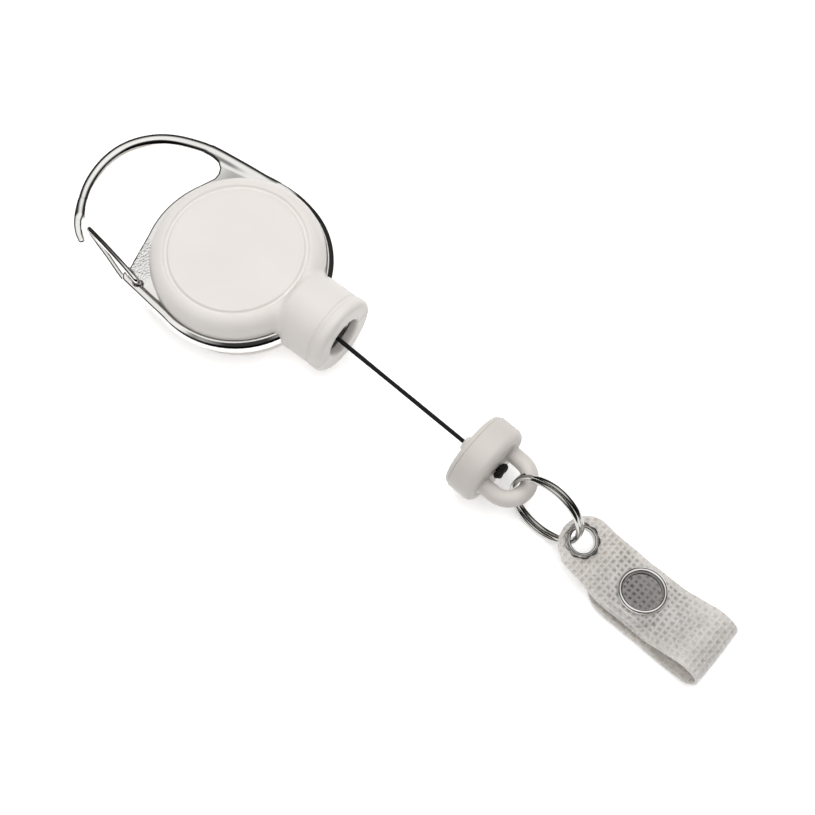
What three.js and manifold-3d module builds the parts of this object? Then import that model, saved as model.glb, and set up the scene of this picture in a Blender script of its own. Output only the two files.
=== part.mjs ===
// Retractable badge reel on a carabiner frame, with a vinyl badge strap. Millimetres, +Z up.
// Origin: on the axis of the round case, at its flat rear face. +X runs along the nozzle axis.
import * as THREE from "three";
import { mergeVertices } from "three/addons/utils/BufferGeometryUtils.js";
import Module from "manifold-3d";

const wasm = await Module();
wasm.setup();

// ---------------------------------------------------------------- driving dimensions
const GAP = 0.3;                        // clearance left between neighbouring pieces
const MID_Z = 8.4;                      // height of the case's parting plane and of the nozzle axis
const SIDES = 40;                       // facets round a large turned shape
const SMALL_SIDES = 20;                 // facets round a small one

const cap = { radius: 17.5, front: 6.35, rear: MID_Z, groove: 13.9, wall: 1.6, cavity: 15.9 };
const nozzle = { radius: 8.25, start: 14.6, seam: 23.9, end: 26.7, mouth: 4.15, bore: 5.2, lip: 1.0 };
const frame = { outer: 19.1, rim: 1.6, rimHeight: 3.8, plate: 2.0, inner: 16.2, slot: 6.4 };
const hook = { x: -20.7, y: 0.2, radius: 16.1, width: 2.9, height: 3.5 };
const corner = { x: -14.9, y: -15.9, radius: 1.5 };
const wire = { radius: 0.6 };
const gatePin = { x: -12.6, y: -16.0, hole: 0.95 };       // where both ends of the gate wire turn
const spool = { drum: 11.0, chamber: 9.6, flange: 15.0, channel: 3.0, web: 1.2 };
const arbor = { radius: 2.6, bore: 1.25 };
const casePin = { head: 3.0, thickness: 0.8, shank: 0.6 };
const cord = { radius: 0.42, sides: 8 };
const tail = { x: 12.8, turn: THREE.MathUtils.degToRad(-3.85) };    // line of the pulled-out cord
const stop = { radius: 8.2, start: 48.2, end: 53.6, plate: 1.0, bar: 1.65, loopEnd: 62.0, loopHalf: 5.8 };
const ring = { centre: 65.5, radius: 7.65, section: 0.44, pitch: 0.98, drop: -0.2 };
const ringTilt = THREE.MathUtils.degToRad(77);
const strap = { width: 12.7, tabWidth: 11.6, thickness: 0.8, tab: 69.9, shift: 0.2, skew: 0.9 };
const eyelet = { along: 74.1, hole: 2.3, flange: 3.1 };
const snap = { along: 88.4, radius: 4.7, hole: 3.5, shift: 0.5 };

// ---------------------------------------------------------------- solids and meshes
function solid(geometry) {
  const plain = geometry.index ? geometry.toNonIndexed() : geometry.clone();
  plain.deleteAttribute("normal");
  plain.deleteAttribute("uv");
  const merged = mergeVertices(plain, 1e-4);
  const mesh = new wasm.Mesh({
    numProp: 3,
    vertProperties: new Float32Array(merged.attributes.position.array),
    triVerts: new Uint32Array(merged.index.array),
  });
  return new wasm.Manifold(mesh);
}

function geometryOf(manifold) {
  const mesh = manifold.getMesh();
  const geometry = new THREE.BufferGeometry();
  geometry.setAttribute("position", new THREE.BufferAttribute(mesh.vertProperties, 3));
  geometry.setIndex(new THREE.BufferAttribute(mesh.triVerts, 1));
  return geometry;
}

// A turned solid about Z from [radius, height] pairs.
function turned(profile, sides = SIDES) {
  const points = profile.map(([r, z]) => new THREE.Vector2(r, z));
  return new THREE.LatheGeometry(points, sides).rotateX(Math.PI / 2);
}

// A turned solid about X from [radius, distance along X] pairs.
function turnedX(profile, sides = SIDES) {
  return turned(profile, sides).rotateY(Math.PI / 2);
}

function disc(radius, low, high, sides = SIDES) {
  return turned([[0, low], [radius, low], [radius, high], [0, high]], sides);
}

function washer(inner, outer, low, high, sides = SIDES) {
  return turned([[inner, low], [outer, low], [outer, high], [inner, high], [inner, low]], sides);
}

function box(x0, x1, y0, y1, z0, z1) {
  const geometry = new THREE.BoxGeometry(x1 - x0, y1 - y0, z1 - z0);
  return geometry.translate((x0 + x1) / 2, (y0 + y1) / 2, (z0 + z1) / 2);
}

function extruded(shape, low, high, curveSegments = 16) {
  const options = { depth: high - low, bevelEnabled: false, curveSegments };
  return new THREE.ExtrudeGeometry(shape, options).translate(0, 0, low);
}

function oval(halfAcross, halfAlong, sides) {
  const points = [];
  for (let i = 0; i < sides; i += 1) {
    const turn = (2 * Math.PI * i) / sides;
    points.push(new THREE.Vector2(halfAcross * Math.cos(turn), halfAlong * Math.sin(turn)));
  }
  return new THREE.Shape(points);
}

function swept(section, path, steps) {
  return new THREE.ExtrudeGeometry(section, { steps, bevelEnabled: false, extrudePath: path });
}

function smooth(points) {
  const corners = points.map(([x, y, z]) => new THREE.Vector3(x, y, z));
  return new THREE.CatmullRomCurve3(corners, false, "centripetal");
}

function union(...geometries) {
  return geometries.map(solid).reduce((whole, piece) => whole.add(piece));
}

// ---------------------------------------------------------------- materials
function material(name, color, roughness, metalness = 0) {
  const made = new THREE.MeshStandardMaterial({ color, roughness, metalness });
  made.name = name;
  return made;
}

const finishes = {
  shell: material("shell_plastic", 0xe6e2dd, 0.4),
  stop: material("stop_plastic", 0xcfcac4, 0.45),
  chrome: material("chrome", 0xd8d8d8, 0.08, 1),
  steel: material("steel", 0x9a9a98, 0.3, 1),
  spool: material("spool_plastic", 0x3a3a3c, 0.5),
  cord: material("cord_black", 0x141414, 0.8),
  frosted: material("frosted_plastic", 0xe4e4de, 0.5),
  vinyl: material("strap_vinyl", 0xcac5bd, 0.35),
};

const reel = new THREE.Group();
const tailGroup = new THREE.Group();
tailGroup.position.set(tail.x, 0, MID_Z);
tailGroup.rotation.z = tail.turn;
reel.add(tailGroup);

function place(group, name, geometry, finish) {
  const mesh = new THREE.Mesh(geometry, finish);
  mesh.name = name;
  group.add(mesh);
  return mesh;
}

// ---------------------------------------------------------------- case covers
// Outer section of one cover, height measured from the parting plane; the rear one is deeper.
function coverDome(height) {
  const shoulder = cap.radius - cap.groove;
  const low = frame.plate / 2 + GAP;
  const profile = [[0, low], [cap.radius, low], [cap.radius, height - shoulder]];
  for (let step = 1; step <= 5; step += 1) {
    const turn = (step * Math.PI) / 10;
    profile.push([cap.groove + shoulder * Math.cos(turn), height - shoulder + shoulder * Math.sin(turn)]);
  }
  profile.push([cap.groove - 0.2, height - 0.25], [cap.groove - 0.5, height - 0.25]);
  profile.push([cap.groove - 0.7, height], [0, height]);
  return turned(profile);
}

function nozzleBarrel() {
  const { radius, start, seam, end } = nozzle;
  return turnedX([
    [0, start], [radius, start], [radius, seam - 0.25], [radius - 0.25, seam], [radius, seam + 0.25],
    [radius, end - 0.9], [radius - 0.9, end], [0, end],
  ], 40);
}

function nozzleBore() {
  const { mouth, bore, lip, end } = nozzle;
  return turnedX([
    [0, 13], [3.6, 13], [3.6, 16.6], [bore, 16.6], [bore, end - lip], [mouth, end - lip],
    [mouth, end - 0.5], [mouth + 0.5, end + 0.1], [0, end + 0.1],
  ], 32);
}

// The slots where the ends of the frame's rim enter the nozzle.
function rimSlots() {
  const half = frame.rimHeight / 2 + GAP;
  const band = solid(washer(frame.inner - 0.6, frame.outer + GAP, -half, half));
  const edge = frame.slot - GAP;
  const right = solid(box(5, 20, edge, 12, -4, 4));
  const left = solid(box(5, 20, -12, -edge, -4, 4));
  return band.intersect(right.add(left));
}

// One cover, built face up round the parting plane, then turned over for the rear.
function cover(height, details) {
  let body = solid(coverDome(height));
  const upperNozzle = solid(nozzleBarrel()).intersect(solid(box(0, 40, -20, 20, GAP / 2, 20)));
  body = body.add(upperNozzle);
  body = body.subtract(solid(disc(cap.cavity, -1, height - cap.wall)));
  body = body.subtract(solid(nozzleBore())).subtract(rimSlots());
  return geometryOf(details(body));
}

const frontCover = cover(cap.front, (body) => {
  const boss = solid(disc(2.3, cap.front - cap.wall - 0.5, cap.front - 0.5, SMALL_SIDES));
  return body.add(boss).subtract(solid(disc(0.75, 0, cap.front - 0.6, 12)));
});
frontCover.translate(0, 0, MID_Z);
place(reel, "front_cover", frontCover, finishes.shell);

const rearCover = cover(cap.rear, (body) => {
  const floor = solid(disc(cap.cavity + 0.2, cap.rear - 2.0, cap.rear - 1.0));
  const recess = solid(disc(casePin.head + GAP, cap.rear - casePin.thickness - GAP, cap.rear + 1, SMALL_SIDES));
  const hole = solid(disc(1.3, 0, cap.rear + 1, 16));
  return body.add(floor).subtract(recess).subtract(hole);
});
rearCover.rotateX(Math.PI);
rearCover.translate(0, 0, MID_Z);
place(reel, "rear_cover", rearCover, finishes.shell);

// ---------------------------------------------------------------- carabiner frame and gate
function framePlate() {
  const bottomTurn = THREE.MathUtils.degToRad(-102);
  const topTurn = THREE.MathUtils.degToRad(91);
  const shape = new THREE.Shape();
  shape.moveTo(corner.x - 0.3, corner.y - corner.radius + 0.05);
  shape.lineTo(frame.outer * Math.cos(bottomTurn) * 0.99, frame.outer * Math.sin(bottomTurn) * 0.99);
  shape.absarc(0, 0, frame.outer - 0.3, bottomTurn, topTurn, false);
  shape.lineTo(-21.5, 17.2);
  shape.lineTo(-21.5, 15.2);
  shape.quadraticCurveTo(-16.5, 15.4, -16.5, 11.8);
  shape.lineTo(-17.7, 8.4);
  shape.absarc(0, 0, 19.6, THREE.MathUtils.degToRad(155), THREE.MathUtils.degToRad(199), false);
  shape.lineTo(-17.5, -11.0);
  shape.lineTo(corner.x - corner.radius, corner.y + 0.6);
  shape.absarc(corner.x, corner.y, corner.radius, Math.PI, THREE.MathUtils.degToRad(260), false);
  const opening = new THREE.Path();
  opening.absarc(0, 0, frame.inner, 0, 2 * Math.PI, true);
  shape.holes.push(opening);
  return extruded(shape, -frame.plate / 2, frame.plate / 2, 20);
}

function arcPoints(x, y, radius, fromDeg, toDeg, count) {
  const points = [];
  for (let i = 0; i <= count; i += 1) {
    const turn = THREE.MathUtils.degToRad(fromDeg + ((toDeg - fromDeg) * i) / count);
    points.push([x + radius * Math.cos(turn), y + radius * Math.sin(turn), 0]);
  }
  return points;
}

function frameRim() {
  const inset = frame.rim / 2;
  const turn = corner.radius - inset;
  const route = [
    ...arcPoints(corner.x, corner.y, turn, 150, 255, 3),
    ...arcPoints(0, 0, frame.outer - inset, -102, 90, 20),
    [-20.5, 16.8, 0],
  ];
  return swept(oval(frame.rimHeight / 2, inset, 8), smooth(route), 44);
}

function hookBar() {
  const noseTurn = 217;
  const route = [
    [-8, 17.7, 0], [-14, 17.3, 0],
    ...arcPoints(hook.x, hook.y, hook.radius, 92, noseTurn, 14),
    [-31.7, -12.2, 0],
  ];
  return swept(oval(hook.height / 2, hook.width / 2, 10), smooth(route), 36);
}

function hookNose() {
  const route = [[-32.6, -10.9, 0], [-31.6, -12.3, 0], [-30.1, -13.9, 0], [-28.7, -15.4, 0]];
  return swept(oval(1.3, 0.75, 10), smooth(route), 8);
}

let carabiner = union(framePlate(), frameRim(), hookBar(), hookNose());
carabiner = carabiner.subtract(solid(box(5, 25, -frame.slot, frame.slot, -4, 4)));
const pinHoleTop = solid(disc(gatePin.hole, 0.3, 3, 12).translate(gatePin.x, gatePin.y, 0));
const pinHoleBottom = solid(disc(gatePin.hole, -3, -0.3, 12).translate(gatePin.x, gatePin.y, 0));
carabiner = carabiner.subtract(pinHoleTop).subtract(pinHoleBottom);
place(reel, "carabiner_frame", geometryOf(carabiner).translate(0, 0, MID_Z), finishes.chrome);

// Hairpin wire gate: both ends are pinned in the frame's corner, the bend rests on the nose.
const gateRoute = smooth([
  [gatePin.x, gatePin.y, 0.7], [gatePin.x, gatePin.y, 2.2], [-13.3, -15.9, 2.85], [-17.5, -15.0, 2.8],
  [-23.3, -13.8, 2.0],
  [-27.9, -12.9, 1.1], [-28.9, -12.6, 0.55], [-29.05, -12.6, 0], [-28.9, -12.6, -0.55], [-27.9, -13.0, -1.1],
  [-23.3, -14.2, -2.0], [-17.5, -15.9, -2.8], [-13.5, -16.2, -2.85], [gatePin.x, gatePin.y, -2.2],
  [gatePin.x, gatePin.y, -0.7],
]);
const gateWire = swept(oval(wire.radius, wire.radius, 6), gateRoute, 46).translate(0, 0, MID_Z);
place(reel, "gate_wire", gateWire, finishes.chrome);

// ---------------------------------------------------------------- cord guide in the nozzle
const guide = turnedX([
  [1.25, 17.6], [1.6, 17.0], [4.9, 17.0], [4.9, 24.6], [4.2, 24.6], [1.25, 18.4], [1.25, 17.6],
], 32);
place(reel, "cord_guide", guide.translate(0, 0, MID_Z), finishes.steel);

// ---------------------------------------------------------------- spool, spring and arbor
const channelLow = MID_Z - spool.channel / 2;
const channelHigh = MID_Z + spool.channel / 2;
const drumLow = 3.0;
const spoolBody = turned([
  [spool.chamber, drumLow], [spool.drum, drumLow], [spool.drum, channelLow - 1.2],
  [spool.flange, channelLow - 1.2], [spool.flange, channelLow], [spool.drum, channelLow],
  [spool.drum, channelHigh], [arbor.radius + GAP, channelHigh], [arbor.radius + GAP, channelHigh - spool.web],
  [spool.chamber, channelHigh - spool.web], [spool.chamber, drumLow],
]);
place(reel, "spool", spoolBody, finishes.spool);

const flangeLow = channelHigh + GAP;
const flangePlate = washer(arbor.radius + GAP, spool.flange, flangeLow, flangeLow + 1.0);
place(reel, "spool_flange", flangePlate, finishes.spool);
place(reel, "spring_retainer", washer(arbor.radius + GAP, spool.chamber, 2.3, 2.7), finishes.steel);

const winding = washer(spool.drum + GAP, 13.8, channelLow + GAP, channelHigh - GAP);
place(reel, "cord_winding", winding, finishes.cord);

// Flat spiral power spring: its inner end lies on the arbor and its outer end on the drum wall.
class Spiral extends THREE.Curve {
  getPoint(t, target = new THREE.Vector3()) {
    const turns = 7;
    const radius = THREE.MathUtils.lerp(arbor.radius + 0.7, spool.chamber - 0.6, t);
    const turn = 2 * Math.PI * turns * t;
    return target.set(radius * Math.cos(turn), radius * Math.sin(turn), 0);
  }
}
const strip = new THREE.Shape([[-2.4, -0.15], [2.4, -0.15], [2.4, 0.15], [-2.4, 0.15]].map(
  ([x, y]) => new THREE.Vector2(x, y)));
place(reel, "power_spring", swept(strip, new Spiral(), 112).translate(0, 0, 5.8), finishes.steel);

const arborLow = 2.3;
const arborHigh = MID_Z + cap.front - cap.wall - 0.5 - GAP;
const arborSlot = solid(box(-0.3, 4, -0.3, 0.3, 3.2, 8.2));
const arborBody = solid(washer(arbor.bore, arbor.radius, arborLow, arborHigh, SMALL_SIDES)).subtract(arborSlot);
place(reel, "arbor", geometryOf(arborBody), finishes.steel);

// Pressed pin that clamps both covers through the arbor; its flat head is flush with the rear face.
const pinHead = extruded(oval(casePin.head, casePin.head, SMALL_SIDES), 0, casePin.thickness);
const pinShank = turned([
  [0, casePin.thickness / 2], [casePin.shank, casePin.thickness / 2], [casePin.shank, 13.6], [0, 13.9],
], 16);
place(reel, "case_pin", geometryOf(union(pinHead, pinShank)), finishes.steel);

// ---------------------------------------------------------------- cord, from the winding to its knot
const cosTail = Math.cos(tail.turn);
const sinTail = Math.sin(tail.turn);
function onTail(along) {
  return [tail.x + along * cosTail, along * sinTail, MID_Z];
}
const cordRoute = smooth([
  [13.0, -6.8, MID_Z], [14.3, -4.4, MID_Z], [15.5, -2.1, MID_Z], [16.6, -0.75, MID_Z], [18.0, -0.35, MID_Z],
  onTail(7), onTail(13), onTail(22), onTail(30), onTail(38), onTail(46), onTail(53.7),
]);
const cordTube = swept(oval(cord.radius, cord.radius, cord.sides), cordRoute, 40);
place(reel, "cord", cordTube, finishes.cord);

const knot = turnedX([[0, 54.0], [1.0, 54.1], [1.6, 54.9], [1.4, 55.8], [0.7, 56.3], [0, 56.4]], 12);
place(tailGroup, "cord_knot", knot, finishes.cord);

// ---------------------------------------------------------------- end stop
const grommet = turnedX([
  [0.85, 45.6], [1.5, 45.6], [2.3, 47.8], [2.3, 48.4], [1.5, 48.4], [1.5, 52.6], [0.85, 52.6], [0.85, 45.6],
], SMALL_SIDES);
place(tailGroup, "cord_grommet", grommet, finishes.frosted);

const plateLow = stop.start - GAP - stop.plate;
const stopPlate = turnedX([
  [2.6, plateLow], [stop.radius - 0.9, plateLow], [stop.radius - 0.3, plateLow + 0.5],
  [stop.radius - 0.3, plateLow + stop.plate], [2.6, plateLow + stop.plate], [2.6, plateLow],
], 40);
place(tailGroup, "stop_plate", stopPlate, finishes.stop);

const stopDisc = turnedX([
  [0, stop.start], [stop.radius - 0.3, stop.start], [stop.radius, stop.start + 0.3],
  [stop.radius, stop.end - 1.8], [stop.radius - 0.5, stop.end - 0.6], [stop.radius - 1.8, stop.end], [0, stop.end],
], 40);
const loopBend = stop.loopEnd - stop.loopHalf;
const loopRoute = smooth([
  [stop.end - 1.5, stop.bar - stop.loopHalf, 0], [stop.end, stop.bar - stop.loopHalf, 0],
  ...arcPoints(loopBend, 0, stop.loopHalf - stop.bar, -90, 90, 8),
  [stop.end, stop.loopHalf - stop.bar, 0], [stop.end - 1.5, stop.loopHalf - stop.bar, 0],
]);
const loop = swept(oval(stop.bar, stop.bar, 8), loopRoute, 20);
const grommetSeat = turnedX([
  [0, 40], [2.6, 40], [2.6, 48.7], [1.8, 48.7], [1.8, 52.9], [0.9, 52.9], [0.9, 60], [0, 60],
], SMALL_SIDES);
const endStop = union(stopDisc, loop).subtract(solid(grommetSeat));
place(tailGroup, "end_stop", geometryOf(endStop), finishes.stop);

// ---------------------------------------------------------------- split ring of two turns
class SplitCoil extends THREE.Curve {
  getPoint(t, target = new THREE.Vector3()) {
    const turns = 1.94;
    const turn = 2 * Math.PI * (turns * t + 0.42);
    const step = THREE.MathUtils.smoothstep(t, 0.42, 0.58) - 0.5;
    return target.set(ring.radius * Math.cos(turn), ring.radius * Math.sin(turn), ring.pitch * step);
  }
}
const splitRing = swept(oval(ring.section, ring.section, 6), new SplitCoil(), 62);
splitRing.rotateX(ringTilt).translate(ring.centre, 0, ring.drop);
place(tailGroup, "split_ring", splitRing, finishes.chrome);

// ---------------------------------------------------------------- badge strap, folded over a fold line
// Side outline of a band of the strap's thickness that follows [along, height] points.
function band(points, steps) {
  const line = new THREE.SplineCurve(points.map(([s, z]) => new THREE.Vector2(s, z)));
  const upper = [];
  const lower = [];
  for (let i = 0; i <= steps; i += 1) {
    const at = line.getPointAt(i / steps);
    const dir = line.getTangentAt(i / steps);
    const side = new THREE.Vector2(-dir.y, dir.x).multiplyScalar(strap.thickness / 2);
    upper.push(at.clone().add(side));
    lower.unshift(at.clone().sub(side));
  }
  const shape = new THREE.Shape([...upper, ...lower]);
  return extruded(shape, -strap.width / 2, strap.width / 2).rotateX(Math.PI / 2);
}

// Plan outline of a leaf: a round end at "start", straight edges to "end".
function leafPlan(start, end, width, flare) {
  const half = width / 2;
  const shape = new THREE.Shape();
  shape.moveTo(end, -strap.width / 2);
  shape.lineTo(end, strap.width / 2);
  shape.lineTo(start + flare, strap.width / 2);
  shape.lineTo(start + half, half);
  shape.absarc(start + half, 0, half, Math.PI / 2, (3 * Math.PI) / 2, false);
  shape.lineTo(start + flare, -strap.width / 2);
  return extruded(shape, -12, 12, 10);
}

const upperLeaf = [[69.9, -1.4], [74.5, -2.1], [79.5, -4.2], [83.5, -5.4], [88.4, -5.5], [93.4, -5.4],
  [97.5, -3.4], [101.5, -1.6], [104.6, -2.5], [105.9, -4.3], [105.3, -5.7]];
const lowerLeaf = [[104.8, -6.3], [103.4, -6.9], [100, -7.3], [95, -7.3], [88.4, -7.2], [83, -7.1],
  [78.6, -6.5]];

let strapUpper = solid(band(upperLeaf, 26)).intersect(solid(leafPlan(strap.tab, 110, strap.tabWidth, 14)));
const eyeletCut = disc(eyelet.hole + 0.7, -12, 12, SMALL_SIDES).translate(eyelet.along, 0, 0);
const socketCut = disc(snap.hole - 1.0, -12, 12, SMALL_SIDES).translate(snap.along, snap.shift, 0);
strapUpper = strapUpper.subtract(solid(eyeletCut)).subtract(solid(socketCut));
place(tailGroup, "strap_upper_leaf", geometryOf(strapUpper).translate(0, strap.shift, 0), finishes.vinyl);

const strapLower = solid(band(lowerLeaf, 14)).intersect(solid(leafPlan(78.3, 110, strap.width, 7)));
const studCut = disc(1.4, -12, 12, SMALL_SIDES).translate(snap.along, strap.skew + snap.shift, 0);
const lowerLeafBody = geometryOf(strapLower.subtract(solid(studCut)));
place(tailGroup, "strap_lower_leaf", lowerLeafBody.translate(0, strap.shift - strap.skew, 0), finishes.vinyl);

// ---------------------------------------------------------------- eyelet and press stud
function onLeaf(geometry, along, height, slope, shift = 0) {
  return geometry.rotateY(-slope).translate(along, strap.shift + shift, height);
}
const tabSlope = Math.atan2(-0.9, 5);
const { hole, flange } = eyelet;
const eyeletTop = turned([
  [hole, -0.6], [hole + 0.4, -0.6], [hole + 0.4, 0.7], [flange, 0.7], [flange - 0.3, 1.1], [hole + 0.2, 1.1],
  [hole, 0.8], [hole, -0.6],
], 24);
place(tailGroup, "eyelet", onLeaf(eyeletTop, eyelet.along, -2.05, tabSlope), finishes.chrome);
const eyeletBack = washer(hole + 0.1, flange, -1.3, -0.9, 24);
place(tailGroup, "eyelet_washer", onLeaf(eyeletBack, eyelet.along, -2.05, tabSlope), finishes.chrome);

const outerRing = turned([
  [snap.hole, 0.8], [snap.radius, 0.8], [snap.radius, 1.15], [snap.radius - 0.35, 1.5],
  [snap.hole + 0.3, 1.5], [snap.hole, 1.15], [snap.hole, 0.8],
], 28);
place(tailGroup, "snap_prong_ring", onLeaf(outerRing, snap.along, -5.5, 0, snap.shift), finishes.chrome);
const socket = washer(1.5, 2.3, -1.0, 0.55, 20);
place(tailGroup, "snap_socket", onLeaf(socket, snap.along, -5.5, 0, snap.shift), finishes.steel);
const stud = turned([[0, -0.7], [1.0, -0.7], [1.0, 0.5], [0.75, 0.8], [0.75, 1.7], [0, 1.9]], SMALL_SIDES);
place(tailGroup, "snap_stud", onLeaf(stud, snap.along, -7.2, 0, snap.shift), finishes.steel);
const backRing = washer(2.0, snap.radius - 0.3, -1.1, -0.7, 28);
place(tailGroup, "snap_back_ring", onLeaf(backRing, snap.along, -7.2, 0, snap.shift), finishes.chrome);

export default reel;
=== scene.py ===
# Looks of the retractable badge reel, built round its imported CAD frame. Metres; shapes are worked out
# in millimetres from the parting plane of the case and turned into metres when a mesh is made.
import math

import bpy
import numpy as np
from mathutils import Matrix, Vector


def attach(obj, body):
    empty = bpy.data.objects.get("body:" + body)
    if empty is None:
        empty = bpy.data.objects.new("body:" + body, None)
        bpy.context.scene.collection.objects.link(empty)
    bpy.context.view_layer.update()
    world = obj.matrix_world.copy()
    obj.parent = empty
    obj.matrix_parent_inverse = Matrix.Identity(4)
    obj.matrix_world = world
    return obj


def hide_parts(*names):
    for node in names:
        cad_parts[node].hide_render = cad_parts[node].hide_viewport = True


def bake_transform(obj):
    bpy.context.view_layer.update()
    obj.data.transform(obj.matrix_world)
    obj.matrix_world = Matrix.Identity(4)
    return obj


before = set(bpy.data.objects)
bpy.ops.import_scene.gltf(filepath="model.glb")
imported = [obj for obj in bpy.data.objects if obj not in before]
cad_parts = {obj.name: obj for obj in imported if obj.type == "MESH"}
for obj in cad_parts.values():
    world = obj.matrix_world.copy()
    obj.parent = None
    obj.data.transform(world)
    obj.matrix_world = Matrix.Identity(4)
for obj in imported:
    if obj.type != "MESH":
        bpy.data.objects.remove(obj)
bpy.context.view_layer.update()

MM = 0.001
scene = bpy.context.scene

# ---------------------------------------------------------------- driving dimensions, millimetres
MID_Z = 8.4                                        # parting plane and nozzle axis above the rear face
CAP = dict(radius=17.5, front=6.35, rear=8.4, groove=13.9, wall=1.6, cavity=15.9, edge=1.03)
NOZZLE = dict(radius=8.25, start=14.6, seam=23.9, end=26.7, mouth=4.15, bore=5.2)
FRAME = dict(outer=19.1, rim=0.8, rim_height=1.9, plate=1.0, inner=16.2, slot=6.4)
CORNER = dict(x=-14.9, y=-15.9, radius=1.5)
PIN = (-12.6, -16.0)                               # where the gate wire's ends are pinned
WIRE = 0.6
CORD = 0.42
TAIL_X = 12.8                                      # the pulled-out cord's line starts here on the axis
TAIL_TURN = math.radians(-3.85)
STOP = dict(radius=8.2, start=48.2, end=53.6, plate=1.0, bar=1.65, loop_end=62.0, loop_half=5.8)
RING = dict(centre=65.5, radius=7.65, half=0.46, edge=0.3, pitch=0.98, drop=-0.2, tilt=math.radians(77))
STRAP = dict(width=12.7, tab=11.6, thick=0.62, shift=0.2, skew=-0.9)
EYELET = dict(along=74.1, hole=2.3, flange=3.1, height=-2.05, slope=math.atan2(-0.9, 5))
SNAP = dict(along=88.4, radius=4.7, hole=3.5, height=-5.5, back=-7.2, shift=0.5,
            lift=0.65, rise=math.radians(6), roll=math.radians(-7))
VIEW = dict(turn=37.47, dip=69.02, aim=(45.32, -4.04, MID_Z), distance=249.03, lens=57.43)

# ---------------------------------------------------------------- camera, at the photograph's angle
camera = bpy.data.objects.new("camera", bpy.data.cameras.new("camera"))
scene.collection.objects.link(camera)
scene.camera = camera
camera.data.sensor_width = 36
camera.data.lens = VIEW["lens"]
camera.data.clip_start, camera.data.clip_end = 0.01, 10
turn, dip = math.radians(VIEW["turn"]), math.radians(VIEW["dip"])
forward = Vector((-math.sin(turn) * math.cos(dip), math.cos(turn) * math.cos(dip), -math.sin(dip)))
right = Vector((math.cos(turn), math.sin(turn), 0))
up = right.cross(forward)
eye = (Vector(VIEW["aim"]) - forward * VIEW["distance"]) * MM
camera.matrix_world = Matrix((
    (right.x, up.x, -forward.x, eye.x),
    (right.y, up.y, -forward.y, eye.y),
    (right.z, up.z, -forward.z, eye.z),
    (0, 0, 0, 1)))


# ---------------------------------------------------------------- places and meshes
def case_point(p):
    """Millimetres from the case axis at the parting plane, as metres in the row frame."""
    return np.asarray(p, float) * MM + np.array([0, 0, MID_Z * MM])


def tail_point(p):
    """Millimetres along, across and above the pulled-out cord's line, as metres in the row frame."""
    p = np.asarray(p, float)
    c, s = math.cos(TAIL_TURN), math.sin(TAIL_TURN)
    x = TAIL_X + p[..., 0] * c - p[..., 1] * s
    y = p[..., 0] * s + p[..., 1] * c
    return np.stack([x, y, MID_Z + p[..., 2]], -1) * MM


def mesh_object(name, points, faces, body, nodes=(), material=None, smooth=40):
    """A closed mesh in metres that rides on a body and stands for CAD nodes."""
    data = bpy.data.meshes.new(name)
    data.from_pydata(np.asarray(points, float).tolist(), [], [list(map(int, f)) for f in faces])
    data.update()
    piece = bpy.data.objects.new(name, data)
    scene.collection.objects.link(piece)
    data.shade_smooth()
    if smooth:
        data.set_sharp_from_angle(angle=math.radians(smooth))
    if material:
        data.materials.append(material)
    if nodes:
        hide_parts(*nodes)
    if body:
        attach(piece, body)
    return piece


def spline(points, per=8):
    """Catmull-Rom samples through the points, ends included."""
    p = np.asarray(points, float)
    p = np.vstack([2 * p[0] - p[1], p, 2 * p[-1] - p[-2]])
    out = []
    for i in range(1, len(p) - 2):
        a, b, c, d = p[i - 1:i + 3]
        for t in np.arange(per) / per:
            out.append(0.5 * (2 * b + (c - a) * t + (2 * a - 5 * b + 4 * c - d) * t * t
                              + (3 * b - a - 3 * c + d) * t ** 3))
    out.append(p[-2])
    return np.array(out)


def even(points, step):
    """The same line with points about one step apart."""
    p = np.asarray(points, float)
    length = np.concatenate([[0], np.cumsum(np.linalg.norm(np.diff(p, axis=0), axis=1))])
    at = np.linspace(0, length[-1], max(3, int(round(length[-1] / step)) + 1))
    return np.stack([np.interp(at, length, p[:, i]) for i in range(p.shape[1])], -1)


def arc(x, y, radius, start, end, count):
    """Points on an arc, angles in degrees."""
    turns = np.radians(np.linspace(start, end, count))
    return [(x + radius * math.cos(t), y + radius * math.sin(t)) for t in turns]


def section_circle(radius, sides):
    turns = np.linspace(0, 2 * math.pi, sides, endpoint=False)
    return np.stack([radius * np.cos(turns), radius * np.sin(turns)], -1)


def rounded_rectangle(half_w, half_h, radius, per=4):
    points = []
    for cx, cy, start in ((1, 1, 0), (-1, 1, 90), (-1, -1, 180), (1, -1, 270)):
        points += arc(cx * (half_w - radius), cy * (half_h - radius), radius, start, start + 90, per)
    return np.array(points)


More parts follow.
